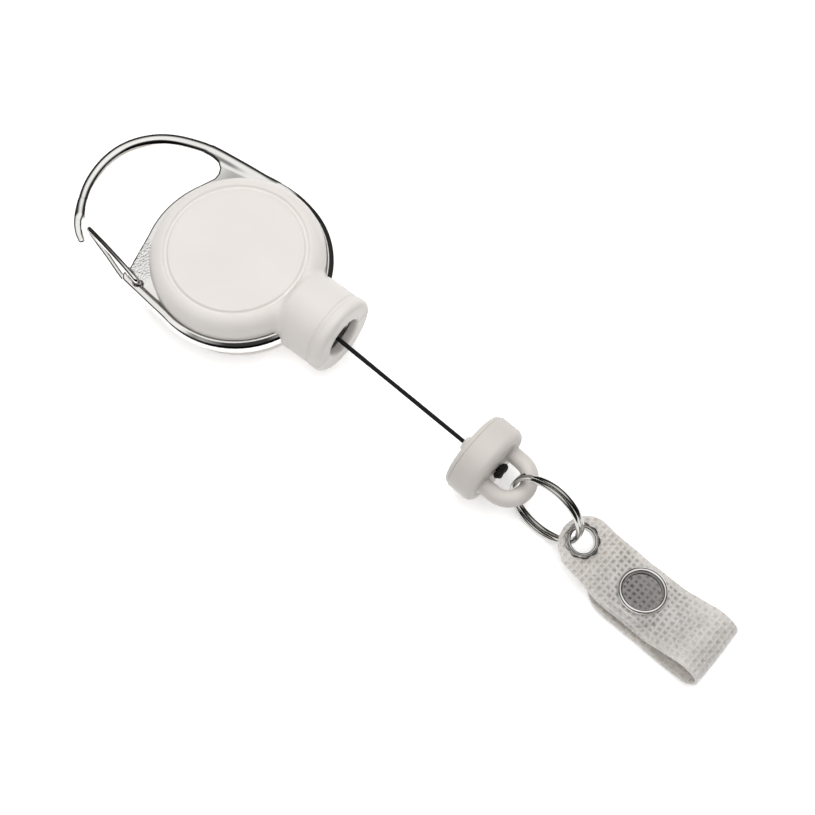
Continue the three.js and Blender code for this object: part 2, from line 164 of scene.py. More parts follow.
def swept(path, section, up=(0, 0, 1), twist=None, closed=False):
    """Points and faces of a section swept along a path; its first axis lies across, its second along up."""
    path = np.asarray(path, float)
    tangent = np.gradient(path, axis=0)
    if closed:
        tangent = np.roll(path, -1, 0) - np.roll(path, 1, 0)
    tangent /= np.linalg.norm(tangent, axis=1)[:, None]
    upward = np.asarray(up, float)
    frames = []
    for t in tangent:
        upward = upward - t * np.dot(upward, t)
        upward /= np.linalg.norm(upward)
        frames.append((np.cross(upward, t), upward.copy()))
    n, m = len(path), len(section)
    points = np.zeros((n, m, 3))
    for i, (across, above) in enumerate(frames):
        s = np.array(section, float)
        if twist is not None:
            c, w = math.cos(twist[i]), math.sin(twist[i])
            s = s @ np.array([[c, w], [-w, c]])
        points[i] = path[i] + s[:, :1] * across + s[:, 1:2] * above
    faces = []
    rings = n if closed else n - 1
    for i in range(rings):
        for j in range(m):
            a, b = i * m + j, i * m + (j + 1) % m
            c, d = ((i + 1) % n) * m + (j + 1) % m, ((i + 1) % n) * m + j
            faces.append((a, b, c, d))
    if not closed:
        faces.append(tuple(range(m))[::-1])
        faces.append(tuple((n - 1) * m + j for j in range(m)))
    return points.reshape(-1, 3), faces


def lathe(profile, sides=96, lobes=None):
    """Points and faces of a closed [radius, height] outline turned about Z."""
    profile = np.asarray(profile, float)
    n = len(profile)
    points = []
    for k in range(sides):
        turn = 2 * math.pi * k / sides
        radius = profile[:, 0] if lobes is None else lobes(profile[:, 0], profile[:, 1], turn)
        points.append(np.stack([radius * math.cos(turn), radius * math.sin(turn), profile[:, 1]], -1))
    faces = []
    for k in range(sides):
        for j in range(n):
            a, b = k * n + j, k * n + (j + 1) % n
            c, d = ((k + 1) % sides) * n + (j + 1) % n, ((k + 1) % sides) * n + j
            faces.append((a, d, c, b))
    return np.vstack(points), faces


def join(*parts):
    points, faces, base = [], [], 0
    for p, f in parts:
        points.append(p)
        faces += [tuple(i + base for i in face) for face in f]
        base += len(p)
    return np.vstack(points), faces


def about_x(points):
    """A shape turned about Z, laid so that its axis is X."""
    return points[:, [2, 0, 1]]


# ---------------------------------------------------------------- rounded solids from distance fields
def rounded(qx, qy, radius):
    outside = np.hypot(np.maximum(qx, 0), np.maximum(qy, 0))
    return np.minimum(np.maximum(qx, qy), 0) + outside - radius


def blend_min(a, b, k):
    h = np.clip(0.5 + 0.5 * (b - a) / k, 0, 1)
    return b * (1 - h) + a * h - k * h * (1 - h)


def blend_max(a, b, k):
    return -blend_min(-a, -b, k)


def ease(t):
    t = np.clip(t, 0, 1)
    return t * t * (3 - 2 * t)


def line_distance(x, y, route):
    """Distance in plan to an open line, and how far along it the nearest point is."""
    route = np.asarray(route, float)
    best = np.full(np.broadcast(x, y).shape, 1e9)
    along = np.zeros_like(best)
    travelled = 0.0
    for (x0, y0), (x1, y1) in zip(route[:-1], route[1:]):
        dx, dy = x1 - x0, y1 - y0
        size = math.hypot(dx, dy)
        t = np.clip(((x - x0) * dx + (y - y0) * dy) / (size * size), 0, 1)
        d = np.hypot(x - x0 - t * dx, y - y0 - t * dy)
        nearer = d < best
        best = np.where(nearer, d, best)
        along = np.where(nearer, travelled + t * size, along)
        travelled += size
    return best, along


def outline_distance(x, y, outline):
    """Signed distance in plan to a closed outline, negative inside."""
    outline = np.asarray(outline, float)
    best, _ = line_distance(x, y, np.vstack([outline, outline[:1]]))
    inside = np.zeros(best.shape, bool)
    for (x0, y0), (x1, y1) in zip(outline, np.roll(outline, -1, 0)):
        if y0 == y1:
            continue
        crosses = (y0 > y) != (y1 > y)
        inside ^= crosses & (x < (x1 - x0) * (y - y0) / (y1 - y0) + x0)
    return np.where(inside, -best, best)


def skin(field, low, high, cell):
    """Points and faces of the surface where a field is zero, as dual quads pulled onto the surface."""
    low, high = np.array(low, float), np.array(high, float)
    counts = np.ceil((high - low) / cell).astype(int) + 1
    axes = [low[i] + cell * np.arange(counts[i]) for i in range(3)]
    x, y, z = axes[0][:, None, None], axes[1][None, :, None], axes[2][None, None, :]
    values = np.broadcast_to(field(x, y, z), counts).astype(float)
    inside = values < 0
    cells = counts - 1
    total = np.zeros((int(np.prod(cells)), 3))
    hits = np.zeros(int(np.prod(cells)))
    edges = []

    def cell_id(index):
        return (index[0] * cells[1] + index[1]) * cells[2] + index[2]

    for axis in range(3):
        first = [slice(None)] * 3
        second = [slice(None)] * 3
        first[axis], second[axis] = slice(None, -1), slice(1, None)
        a, b = values[tuple(first)], values[tuple(second)]
        at = np.array(np.nonzero(inside[tuple(first)] != inside[tuple(second)]))
        others = [i for i in range(3) if i != axis]
        keep = np.all([(at[i] > 0) & (at[i] < counts[i] - 1) for i in others], axis=0)
        at = at[:, keep]
        va, vb = a[tuple(at)], b[tuple(at)]
        place = at.astype(float)
        place[axis] += va / (va - vb)
        corner_cells = []
        for du, dv in ((1, 1), (0, 1), (0, 0), (1, 0)):
            index = at.copy()
            index[others[0]] -= du
            index[others[1]] -= dv
            ids = cell_id(index)
            for i in range(3):
                total[:, i] += np.bincount(ids, place[i], len(total))
            hits += np.bincount(ids, minlength=len(hits))
            corner_cells.append(ids)
        quad = np.stack(corner_cells, -1)
        flip = (va > 0) != (axis == 1)
        quad[flip] = quad[flip][:, ::-1]
        edges.append(quad)
    used = hits > 0
    number = np.cumsum(used) - 1
    points = total[used] / hits[used][:, None] * cell + low
    faces = number[np.vstack(edges)]

    def at_points(p):
        return field(p[:, 0], p[:, 1], p[:, 2])

    probe = 0.02
    for _ in range(3):
        slope = np.stack([(at_points(points + probe * e) - at_points(points - probe * e)) / (2 * probe)
                          for e in np.eye(3)], -1)
        size = np.maximum((slope ** 2).sum(-1), 0.1)
        step = at_points(points)[:, None] * slope / size[:, None]
        longest = np.linalg.norm(step, axis=1)[:, None]
        points = points - step * np.minimum(1, 0.5 * cell / np.maximum(longest, 1e-9))
    return points, faces


# ---------------------------------------------------------------- materials
def node_material(name):
    made = bpy.data.materials.new(name)
    made.use_nodes = True
    tree = made.node_tree
    return made, tree, tree.nodes["Principled BSDF"]


def link(tree, source, target):
    tree.links.new(source, target)


def noise(tree, scale, detail=3.0, rough=0.5, vector=None):
    node = tree.nodes.new("ShaderNodeTexNoise")
    node.inputs["Scale"].default_value = scale
    node.inputs["Detail"].default_value = detail
    node.inputs["Roughness"].default_value = rough
    if vector is None:
        coordinates = tree.nodes.new("ShaderNodeTexCoord")
        vector = coordinates.outputs["Object"]
    link(tree, vector, node.inputs["Vector"])
    return node.outputs["Fac"]


def math_node(tree, kind, a, b=None, c=None):
    node = tree.nodes.new("ShaderNodeMath")
    node.operation = kind
    for socket, value in zip(node.inputs, (a, b, c)):
        if value is None:
            continue
        if isinstance(value, (int, float)):
            socket.default_value = value
        else:
            link(tree, value, socket)
    return node.outputs[0]


def spread(tree, value, low, high, from_low=0.3, from_high=0.7):
    """A value taken from one range to another."""
    node = tree.nodes.new("ShaderNodeMapRange")
    node.inputs["From Min"].default_value = from_low
    node.inputs["From Max"].default_value = from_high
    node.inputs["To Min"].default_value = low
    node.inputs["To Max"].default_value = high
    link(tree, value, node.inputs["Value"])
    return node.outputs["Result"]


def mixed(tree, factor, first, second):
    """A colour between two colours, each as three numbers or as a socket."""
    node = tree.nodes.new("ShaderNodeMix")
    node.data_type = "RGBA"
    link(tree, factor, node.inputs["Factor"])
    for socket, value in ((node.inputs[6], first), (node.inputs[7], second)):
        if isinstance(value, tuple):
            socket.default_value = (*value, 1)
        else:
            link(tree, value, socket)
    return node.outputs[2]


def bump(tree, shader, height, distance, strength=1.0):
    node = tree.nodes.new("ShaderNodeBump")
    node.inputs["Distance"].default_value = distance
    node.inputs["Strength"].default_value = strength
    link(tree, height, node.inputs["Height"])
    link(tree, node.outputs["Normal"], shader.inputs["Normal"])
    return node


def plastic(name, light, dark, roughness, grain=0.00002):
    """Satin moulded plastic: faint cloudiness, a fine moulded grain and uneven gloss."""
    made, tree, shader = node_material(name)
    cloud = noise(tree, 90, 4)
    link(tree, mixed(tree, spread(tree, cloud, 0, 1), dark, light), shader.inputs["Base Color"])
    link(tree, spread(tree, noise(tree, 400, 3), roughness - 0.05, roughness + 0.05),
         shader.inputs["Roughness"])
    bump(tree, shader, noise(tree, 5000, 2), grain, 0.5)
    shader.inputs["Specular IOR Level"].default_value = 0.4
    return made


def metal(name, light, dark, low, high, grain=4000, depth=0.000004, stretch=None):
    """Plated or turned metal: uneven polish, fine scratches or turning marks."""
    made, tree, shader = node_material(name)
    shader.inputs["Metallic"].default_value = 1.0
    coordinates = tree.nodes.new("ShaderNodeTexCoord")
    vector = coordinates.outputs["Object"]
    if stretch:
        mapping = tree.nodes.new("ShaderNodeMapping")
        mapping.inputs["Scale"].default_value = stretch
        link(tree, vector, mapping.inputs["Vector"])
        vector = mapping.outputs["Vector"]
    patch = noise(tree, 150, 4, 0.6)
    link(tree, mixed(tree, spread(tree, patch, 0, 1), dark, light), shader.inputs["Base Color"])
    fine = noise(tree, grain, 3, 0.6, vector)
    link(tree, spread(tree, fine, low, high), shader.inputs["Roughness"])
    bump(tree, shader, fine, depth, 0.35)
    return made, tree, shader


shell_plastic = plastic("shell_plastic_look", (0.73, 0.695, 0.665), (0.705, 0.67, 0.64), 0.42)
stop_plastic = plastic("stop_plastic_look", (0.615, 0.58, 0.55), (0.59, 0.555, 0.525), 0.45)
dark_plastic = plastic("dark_plastic_look", (0.055, 0.055, 0.06), (0.035, 0.035, 0.04), 0.5)
chrome, _, _ = metal("chrome_look", (0.86, 0.85, 0.83), (0.80, 0.79, 0.77), 0.05, 0.11)
nickel, _, _ = metal("nickel_look", (0.58, 0.57, 0.55), (0.50, 0.49, 0.47), 0.06, 0.14)
steel, _, _ = metal("steel_look", (0.52, 0.51, 0.49), (0.40, 0.39, 0.38), 0.22, 0.38, 3000, 0.00001)
turned_steel, _, _ = metal("turned_steel_look", (0.62, 0.61, 0.59), (0.48, 0.47, 0.46), 0.2, 0.36,
                           1200, 0.00002, (6, 0.3, 0.3))


def carabiner_metal():
    """Chrome plating on a casting, with a hammered patch in the corner by the gate's pins."""
    made, tree, shader = metal("carabiner_look", (0.88, 0.87, 0.85), (0.82, 0.81, 0.79), 0.05, 0.1)
    coordinates = tree.nodes.new("ShaderNodeTexCoord")
    apart = tree.nodes.new("ShaderNodeSeparateXYZ")
    link(tree, coordinates.outputs["Object"], apart.inputs[0])
    x, y, z = apart.outputs
    dx = math_node(tree, "SUBTRACT", x, -15.6 * MM)
    dy = math_node(tree, "SUBTRACT", y, -12.2 * MM)
    away = math_node(tree, "SQRT", math_node(
        tree, "ADD", math_node(tree, "MULTIPLY", dx, dx), math_node(tree, "MULTIPLY", dy, dy)))
    near = spread(tree, away, 1, 0, 3.6 * MM, 5.6 * MM)
    low_top = spread(tree, z, 1, 0, (MID_Z + 1.05) * MM, (MID_Z + 1.35) * MM)
    patch = math_node(tree, "MULTIPLY", near, low_top)
    cells = tree.nodes.new("ShaderNodeTexVoronoi")
    cells.inputs["Scale"].default_value = 2200
    link(tree, coordinates.outputs["Object"], cells.inputs["Vector"])
    dents = math_node(tree, "MULTIPLY", math_node(
        tree, "ADD", cells.outputs["Distance"], noise(tree, 2600, 3)), patch)
    bump(tree, shader, dents, 0.00010, 0.5)
    return made


def cord_material():
    """Black braided cord: slanting strands from its own length and turn coordinates, with painted shade in
    the grooves between the strands.
    """
    made, tree, shader = node_material("cord_look")
    uv = tree.nodes.new("ShaderNodeUVMap")
    uv.uv_map = "along"
    apart = tree.nodes.new("ShaderNodeSeparateXYZ")
    link(tree, uv.outputs["UV"], apart.inputs[0])
    along = math_node(tree, "MULTIPLY", apart.outputs[0], 2 * math.pi * 1.6)
    turn = math_node(tree, "MULTIPLY", apart.outputs[1], 2 * math.pi * 4)
    left = math_node(tree, "SINE", math_node(tree, "ADD", along, turn))
    right_hand = math_node(tree, "SINE", math_node(tree, "SUBTRACT", along, turn))
    braid = math_node(tree, "MAXIMUM", left, right_hand)
    height = math_node(tree, "ADD", braid, math_node(tree, "MULTIPLY", noise(tree, 9000, 2), 0.6))
    # Painted shade: the colour is darker in the grooves between the strands.
    link(tree, mixed(tree, spread(tree, braid, 0, 1, -1, 1), (0.004, 0.004, 0.004), (0.016, 0.016, 0.016)),
         shader.inputs["Base Color"])
    shader.inputs["Roughness"].default_value = 0.7
    shader.inputs["Specular IOR Level"].default_value = 0.15
    bump(tree, shader, height, 0.00006, 0.7)
    return made


def frosted_material():
    """Frosted nylon that lets light through."""
    made, tree, shader = node_material("frosted_look")
    cloud = noise(tree, 1200, 3)
    link(tree, mixed(tree, spread(tree, cloud, 0, 1), (0.70, 0.69, 0.65), (0.86, 0.85, 0.81)),
         shader.inputs["Base Color"])
    link(tree, spread(tree, cloud, 0.3, 0.5), shader.inputs["Roughness"])
    shader.inputs["Transmission Weight"].default_value = 0.25
    bump(tree, shader, noise(tree, 4000, 2), 0.00003, 0.5)
    return made


def strap_material(snap_run):
    """Clear vinyl over an open scrim: raised threads both ways with see-through squares between them; the
    squares carry painted shade, heavier near the press stud, and the strap inside the snap ring is painted
    darker still.
    """
    made, tree, shader = node_material("strap_look")
    pitch = 1.12
    uv = tree.nodes.new("ShaderNodeUVMap")
    uv.uv_map = "flat"
    wander = tree.nodes.new("ShaderNodeTexNoise")
    wander.inputs["Scale"].default_value = 0.35
    wander.inputs["Detail"].default_value = 2
    link(tree, uv.outputs["UV"], wander.inputs["Vector"])
    shifted = tree.nodes.new("ShaderNodeVectorMath")
    shifted.operation = "MULTIPLY_ADD"
    link(tree, wander.outputs["Color"], shifted.inputs[0])
    shifted.inputs[1].default_value = (0.5, 0.5, 0)
    link(tree, uv.outputs["UV"], shifted.inputs[2])
    apart = tree.nodes.new("ShaderNodeSeparateXYZ")
    link(tree, shifted.outputs[0], apart.inputs[0])
    u, v = apart.outputs[0], apart.outputs[1]
    apart_plain = tree.nodes.new("ShaderNodeSeparateXYZ")
    link(tree, uv.outputs["UV"], apart_plain.inputs[0])
    waves = []
    for value in (u, v):
        turn = math_node(tree, "MULTIPLY", value, 2 * math.pi / pitch)
        waves.append(math_node(tree, "MULTIPLY_ADD", math_node(tree, "COSINE", turn), 0.5, 0.5))
    over_u = math_node(tree, "SINE", math_node(tree, "MULTIPLY", u, math.pi / pitch))
    over_v = math_node(tree, "SINE", math_node(tree, "MULTIPLY", v, math.pi / pitch))
    over = math_node(tree, "MULTIPLY", over_u, over_v)
    patchy = spread(tree, noise(tree, 300, 3), 0.16, -0.12)
    gaps = [spread(tree, math_node(tree, "ADD", wave, patchy), 1, 0, 0.38, 0.60) for wave in waves]
    gap = math_node(tree, "MULTIPLY", gaps[0], gaps[1])
    margin = spread(tree, math_node(tree, "ABSOLUTE", apart_plain.outputs[1]), 1, 0, 4.9, 5.5)
    gap = math_node(tree, "MULTIPLY", gap, margin)
    gap = math_node(tree, "MULTIPLY", gap, spread(tree, noise(tree, 140, 2), 0.25, 1.0))
    du = math_node(tree, "SUBTRACT", apart_plain.outputs[0], snap_run)
    dv = math_node(tree, "SUBTRACT", apart_plain.outputs[1], SNAP["shift"])
    from_snap = math_node(tree, "SQRT", math_node(
        tree, "ADD", math_node(tree, "MULTIPLY", du, du), math_node(tree, "MULTIPLY", dv, dv)))
    # Painted shade: the squares grow stronger near the press stud, where the two layers lie together and the
    # shade between them shows through.
    gap = math_node(tree, "MULTIPLY", gap, spread(tree, from_snap, 1.0, 0.28, 4.0, 10.0))
    # Painted shade: inside the snap ring, over the socket, the strap's threads and squares are coloured much
    # darker.
    ring_shade_mask = spread(tree, from_snap, 1, 0, 3.2, 3.9)
    threads = math_node(tree, "MAXIMUM", waves[0], waves[1])
    height = math_node(tree, "ADD", threads, math_node(tree, "MULTIPLY", over, 0.35))
    fibres = noise(tree, 5000, 3)
    height = math_node(tree, "ADD", height, math_node(tree, "MULTIPLY", fibres, 0.35))
    thread_colour = mixed(tree, spread(tree, noise(tree, 260, 3), 0, 1), (0.57, 0.54, 0.51),
                          (0.68, 0.65, 0.62))
    thread_colour = mixed(tree, ring_shade_mask, thread_colour, (0.26, 0.25, 0.24))
    # Painted shade: the see-through squares are coloured dark for the shade seen through them, darkest inside
    # the snap ring.
    gap_shade_colour = mixed(tree, ring_shade_mask, (0.19, 0.18, 0.168), (0.04, 0.04, 0.038))
    link(tree, mixed(tree, gap, thread_colour, gap_shade_colour), shader.inputs["Base Color"])
    link(tree, spread(tree, gap, 0.97, 0.89, 0, 1), shader.inputs["Alpha"])
    shader.inputs["Subsurface Weight"].default_value = 0.55
    shader.inputs["Subsurface Radius"].default_value = (0.003, 0.0028, 0.0026)
    shader.inputs["Subsurface Scale"].default_value = 1.0
    link(tree, spread(tree, fibres, 0.26, 0.44), shader.inputs["Roughness"])
    shader.inputs["Coat Weight"].default_value = 0.8
    shader.inputs["Coat Roughness"].default_value = 0.16
    bump(tree, shader, height, 0.00026, 1.0)
    return made


carabiner_look = carabiner_metal()
cord_look = cord_material()
knot_look = plastic("knot_look", (0.012, 0.012, 0.012), (0.005, 0.005, 0.005), 0.75, 0.00008)
frosted_look = frosted_material()

# ---------------------------------------------------------------- cord, first: its route repeats the CAD's
cos_tail, sin_tail = math.cos(TAIL_TURN), math.sin(TAIL_TURN)


def on_tail(along):
    return (TAIL_X + along * cos_tail, along * sin_tail, 0)


cord_route = [(13.0, -6.8, 0), (14.3, -4.4, 0), (15.5, -2.1, 0), (16.6, -0.75, 0), (18.0, -0.35, 0)]
cord_route += [on_tail(s) for s in (7, 13, 22, 30, 38, 46, 53.7)]
cord_line = even(spline(cord_route), 0.35)
cord_twist = 0.5 + 0.5 * np.sin(np.arange(len(cord_line)) * 0.35 * 0.12)
cord_section = rounded_rectangle(CORD, CORD * 0.93, CORD * 0.7, 5)
points, faces = swept(cord_line, cord_section, twist=cord_twist)
pull_cord = mesh_object("pull_cord", case_point(points), faces, None, ["cord"], cord_look)
uv_layer = pull_cord.data.uv_layers.new(name="along")
sides = len(cord_section)
coordinates = np.zeros((len(pull_cord.data.loops), 2), np.float32)
loop_vertex = np.zeros(len(pull_cord.data.loops), int)
pull_cord.data.loops.foreach_get("vertex_index", loop_vertex)
coordinates[:, 0] = (loop_vertex // sides) * 0.35
coordinates[:, 1] = (loop_vertex % sides) / sides
uv_layer.data.foreach_set("uv", coordinates.ravel())
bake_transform(pull_cord)


# ---------------------------------------------------------------- case covers
def rim_distance(x, y):
    return line_distance(x, y, RIM_ROUTE)


inset = FRAME["rim"]
RIM_ROUTE = (arc(CORNER["x"], CORNER["y"], CORNER["radius"] - inset, 150, 255, 5)
             + arc(0, 0, FRAME["outer"] - inset, -102, 90, 44) + [(-6.5, 17.9), (-11.0, 17.4)])


def rim_field(x, y, z):
    away, _ = rim_distance(x, y)
    corner = 0.5
    bearing = np.degrees(np.arctan2(y, x))
    sink = 0.95 * ease((-4.5 - x) / 6) * (y > 0)
    slant = 0.55 * ease((100 - np.abs(bearing)) / 22) * ease((np.hypot(x, y) - 15) / 2)
    height = np.abs(z) + slant * np.clip(np.hypot(x, y) - (FRAME["outer"] - 1.6), 0, 1.6)
    return rounded(away - (FRAME["rim"] - corner), height + sink - (FRAME["rim_height"] - corner), corner)


def cover_field(height):
    """One cover above the parting plane: dome, nozzle half, groove, seam, mouth, cavity and rim slots."""
    shoulder = CAP["radius"] - CAP["groove"]

    def field(x, y, z):
        r = np.hypot(x, y)
        dome = rounded(r - (CAP["radius"] - shoulder), z - (height - shoulder), shoulder)
        panel = 0.12 * ease((CAP["groove"] - 0.3 - r) / 1.2)
        dome = dome + panel * (z > 0)
        groove = np.hypot(r - CAP["groove"], z - height - 0.1) - 0.5
        dome = blend_max(dome, -groove, 0.25)
        across = np.hypot(y, z)
        neck = 0.5 * ease((18 - x) / 4) + 0.12 * ease((NOZZLE["seam"] - 0.1 - x) / 0.3)
        middle = (NOZZLE["start"] + NOZZLE["end"]) / 2
        half = (NOZZLE["end"] - NOZZLE["start"]) / 2
        barrel = rounded(across - (NOZZLE["radius"] - neck - 1.15), np.abs(x - middle) - (half - 1.15), 1.15)
        body = blend_min(dome, barrel, 1.1)
        body = np.maximum(body, z - max(height, NOZZLE["radius"]))
        seam = np.hypot(x - NOZZLE["seam"], across - NOZZLE["radius"] - 0.05) - 0.4
        body = blend_max(body, -seam, 0.12)
        mouth = np.maximum(across - NOZZLE["mouth"], np.abs(x - 30) - 8)
        bore = np.maximum(across - NOZZLE["bore"], np.abs(x - 20.75) - 4.15)
        port = np.maximum(across - 3.6, np.abs(x - 15) - 3)
        body = blend_max(body, -mouth, 0.7)
        body = np.maximum(body, -np.minimum(bore, port))
        hollow = rounded(r - (CAP["cavity"] - 1.2), z - (height - CAP["wall"] - 1.2), 1.2)
        body = np.maximum(body, -hollow)
        body = np.maximum(body, -(rim_field(x, y, z) - 0.07))
        low = np.where(r < CAP["radius"] + 0.5, CAP["edge"], 0.06)
        low = np.where((x > 0) & (across < NOZZLE["radius"] + 0.3) & (r > CAP["cavity"]), 0.06, low)
        plate = np.maximum(np.maximum(r - FRAME["outer"], 16.1 - r), z - CAP["edge"])
        plate = np.maximum(plate, FRAME["slot"] - 0.1 - np.abs(y))
        body = np.maximum(body, -plate)
        return blend_max(body, 0.06 - z, 0.1)

    return field


def cover(name, node, height, rear):
    cell = 0.21
    edge = 3 * cell
    low = (-CAP["radius"] - edge, -CAP["radius"] - edge, -edge)
    high = (NOZZLE["end"] + edge, CAP["radius"] + edge, max(height, NOZZLE["radius"]) + edge)
    points, faces = skin(cover_field(height), low, high, cell)
    if rear:
        points = points * np.array([1, -1, -1])
    return mesh_object(name, case_point(points), faces, "case", [node], shell_plastic, 0)


cover("front_shell", "front_cover", CAP["front"], False)
cover("rear_shell", "rear_cover", CAP["rear"], True)


# ---------------------------------------------------------------- carabiner frame
OUTLINE = [(CORNER["x"] - 0.3, CORNER["y"] - CORNER["radius"] + 0.05)]
OUTLINE += arc(0, 0, FRAME["outer"] - 0.3, -102, 91, 40)
OUTLINE += [(-6.5, 18.55), (-14.0, 17.95), (-21.5, 17.3), (-21.5, 15.1), (-19.9, 15.1), (-18.3, 14.8),
            (-17.2, 14.0), (-16.6, 12.8), (-16.5, 11.6)]
OUTLINE += arc(0, 0, 19.7, 154.5, 199, 13)
OUTLINE += [(-17.5, -11.0), (CORNER["x"] - CORNER["radius"], CORNER["y"] + 0.8)]
OUTLINE += arc(CORNER["x"], CORNER["y"], CORNER["radius"], 180, 255, 6)
HOOK_ROUTE = spline([(-5, 17.8), (-10, 17.4), (-16, 16.9), (-21.0, 16.3), (-25.0, 15.2), (-28.6, 13.7),
                     (-31.5, 11.8), (-33.9, 9.3), (-35.7, 6.3), (-36.7, 2.9), (-36.8, -1.1), (-35.9, -5.4),
                     (-34.2, -9.0), (-32.5, -11.4)], 5)
NOSE_ROUTE = spline([(-34.3, -9.0), (-33.0, -11.3), (-31.5, -13.2), (-30.0, -14.6), (-28.5, -15.5)], 5)
hook_length = float(np.linalg.norm(np.diff(HOOK_ROUTE, axis=0), axis=1).sum())


def frame_field(x, y, z):
    r = np.hypot(x, y)
    plan = np.maximum(outline_distance(x, y, OUTLINE), FRAME["inner"] - r)
    thick = FRAME["plate"] + 0.4 * ease((-0.5 * x + 0.86 * y - 13.5) / 4) * ease((x + 17) / 8)
    edge = 0.5
    plate = rounded(plan + edge, np.abs(z) - (thick - edge), edge)
    body = blend_min(plate, rim_field(x, y, z), 0.45)
    away, along = line_distance(x, y, HOOK_ROUTE)
    left = np.clip(hook_length - along, 0, None)
    narrow = (1 - 0.16 * ease((24 - left) / 24)) * (0.6 + 0.4 * ease(along / 9))
    half_width, half_height = 1.42 * narrow, 1.75 * (1 - 0.12 * ease((20 - left) / 20))
    corner = 1.4 * narrow
    bar = rounded(away - (half_width - corner), np.abs(z) - (half_height - corner), corner)
    body = blend_min(body, bar, 0.9)
    away, along = line_distance(x, y, NOSE_ROUTE)
    taper = 1 - 0.25 * ease((along - 4) / 6)
    nose = rounded(away - 0.3 * taper, np.abs(z) - 0.7 * taper, 0.62 * taper)
    body = blend_min(body, nose, 0.4)
    body = blend_max(body, FRAME["slot"] - np.abs(y) - 40 * (x < 5), 0.15)
    pins = np.maximum(np.hypot(x - PIN[0], y - PIN[1]) - 0.85, 0.3 - np.abs(z))
    return blend_max(body, -pins, 0.25)


cell = 0.16
points, faces = skin(frame_field, (-39.3, -20.4, -2.6), (20.3, 20.4, 2.6), cell)
mesh_object("carabiner", case_point(points), faces, "case", ["carabiner_frame"],
            carabiner_look, 0)

# ---------------------------------------------------------------- gate wire
gate_half = [(-12.6, -16.0, 0.5), (-12.6, -16.0, 2.1), (-13.3, -15.9, 2.85), (-17.5, -15.0, 2.8),
             (-23.3, -13.8, 2.0), (-27.9, -12.9, 1.1), (-28.9, -12.6, 0.55)]
gate_back = [(-28.9, -12.6, -0.55), (-27.9, -13.0, -1.1), (-23.3, -14.2, -2.0), (-17.5, -15.9, -2.8),
             (-13.5, -16.2, -2.85), (-12.6, -16.0, -2.2), (-12.6, -16.0, -0.5)]
gate_route = even(spline(gate_half + [(-29.05, -12.6, 0)] + gate_back, 10), 0.2)
points, faces = swept(gate_route, section_circle(WIRE, 20), up=(0.3, 1, 0))
mesh_object("gate", case_point(points), faces, "gate", ["gate_wire"], chrome)

# ---------------------------------------------------------------- cord guide in the mouth
guide = [(1.25, 17.8), (1.35, 17.2), (1.7, 17.0), (4.75, 17.0), (4.9, 17.15), (4.9, 24.45), (4.75, 24.6),
         (4.35, 24.6), (4.05, 24.2), (3.2, 22.4), (2.2, 20.3), (1.5, 18.9), (1.3, 18.4)]
points, faces = lathe(guide)
mesh_object("guide_cone", case_point(about_x(points)), faces, "case", ["cord_guide"],
            turned_steel, 35)


# ---------------------------------------------------------------- knot, grommet, plate and end stop
def knot_line():
    """A closed double-loop knot round the tail's line."""
    turns = np.linspace(0, 2 * math.pi, 90, endpoint=False)
    x = 54.42 + 0.15 * np.sin(3 * turns)
    y = 0.42 * (np.sin(turns) + 2 * np.sin(2 * turns))
    z = 0.42 * (np.cos(turns) - 2 * np.cos(2 * turns))
    return np.stack([x, y, z], -1)


points, faces = swept(knot_line(), section_circle(0.6, 14), up=(1, 0.2, 0.1), closed=True)
knot = mesh_object("cord_stop_knot", tail_point(points), faces, "cord_end", ["cord_knot"],
                   knot_look)
grommet = [(0.8, 45.5), (1.25, 45.5), (1.42, 45.62), (2.1, 47.4), (2.32, 47.9), (2.32, 48.4), (1.5, 48.45),
           (1.5, 52.6), (0.8, 52.6)]
points, faces = lathe(grommet, 64)
mesh_object("frosted_grommet", tail_point(about_x(points)), faces, "end_stop", ["cord_grommet"],
            frosted_look, 35)
plate_low = STOP["start"] - 0.03 - STOP["plate"]
plate_r = STOP["radius"] - 0.28
outline = ([(2.55, plate_low)] + arc(plate_r - 0.8, plate_low + 0.8, 0.8, -90, 0, 6)
           + [(plate_r, plate_low + STOP["plate"] - 0.08), (plate_r - 0.08, plate_low + STOP["plate"]),
              (2.55, plate_low + STOP["plate"])])
points, faces = lathe(outline, 112)
mesh_object("stop_face_plate", tail_point(about_x(points)), faces, "end_stop", ["stop_plate"],
            stop_plastic, 35)

loop_bend = STOP["loop_end"] - STOP["loop_half"]
loop_mid = STOP["loop_half"] - STOP["bar"]
LOOP = ([(STOP["end"] - 2, -loop_mid - 0.15)] + arc(loop_bend, 0, loop_mid, -90, 90, 22)
        + [(STOP["end"] - 2, loop_mid + 0.15)])


def stop_field(x, y, z):
    across = np.hypot(y, z)
    front = rounded(across - (STOP["radius"] - 1.5), (x - STOP["end"] + 1.5), 1.5)
    back = rounded(across - (STOP["radius"] - 0.2), STOP["start"] + 0.2 - x, 0.2)
    disc = np.maximum(front, back)
    away, _ = line_distance(x, y, LOOP)
    loop = np.hypot(away, z * 1.03) - STOP["bar"]
    loop = np.maximum(loop, STOP["start"] + 1 - x)
    body = blend_min(disc, loop, 0.55)
    seat = np.minimum(np.maximum(across - 2.6, x - 48.7), across - 1.75)
    seat = np.minimum(np.maximum(seat, x - 52.9), np.maximum(across - 0.95, x - 56))
    return blend_max(body, -seat, 0.1)


cell = 0.2
edge = 3 * cell
points, faces = skin(stop_field, (STOP["start"] - edge, -STOP["radius"] - edge, -STOP["radius"] - edge),
                     (STOP["loop_end"] + edge, STOP["radius"] + edge, STOP["radius"] + edge), cell)
mesh_object("stop_body", tail_point(points), faces, "end_stop", ["end_stop"],
            stop_plastic, 0)

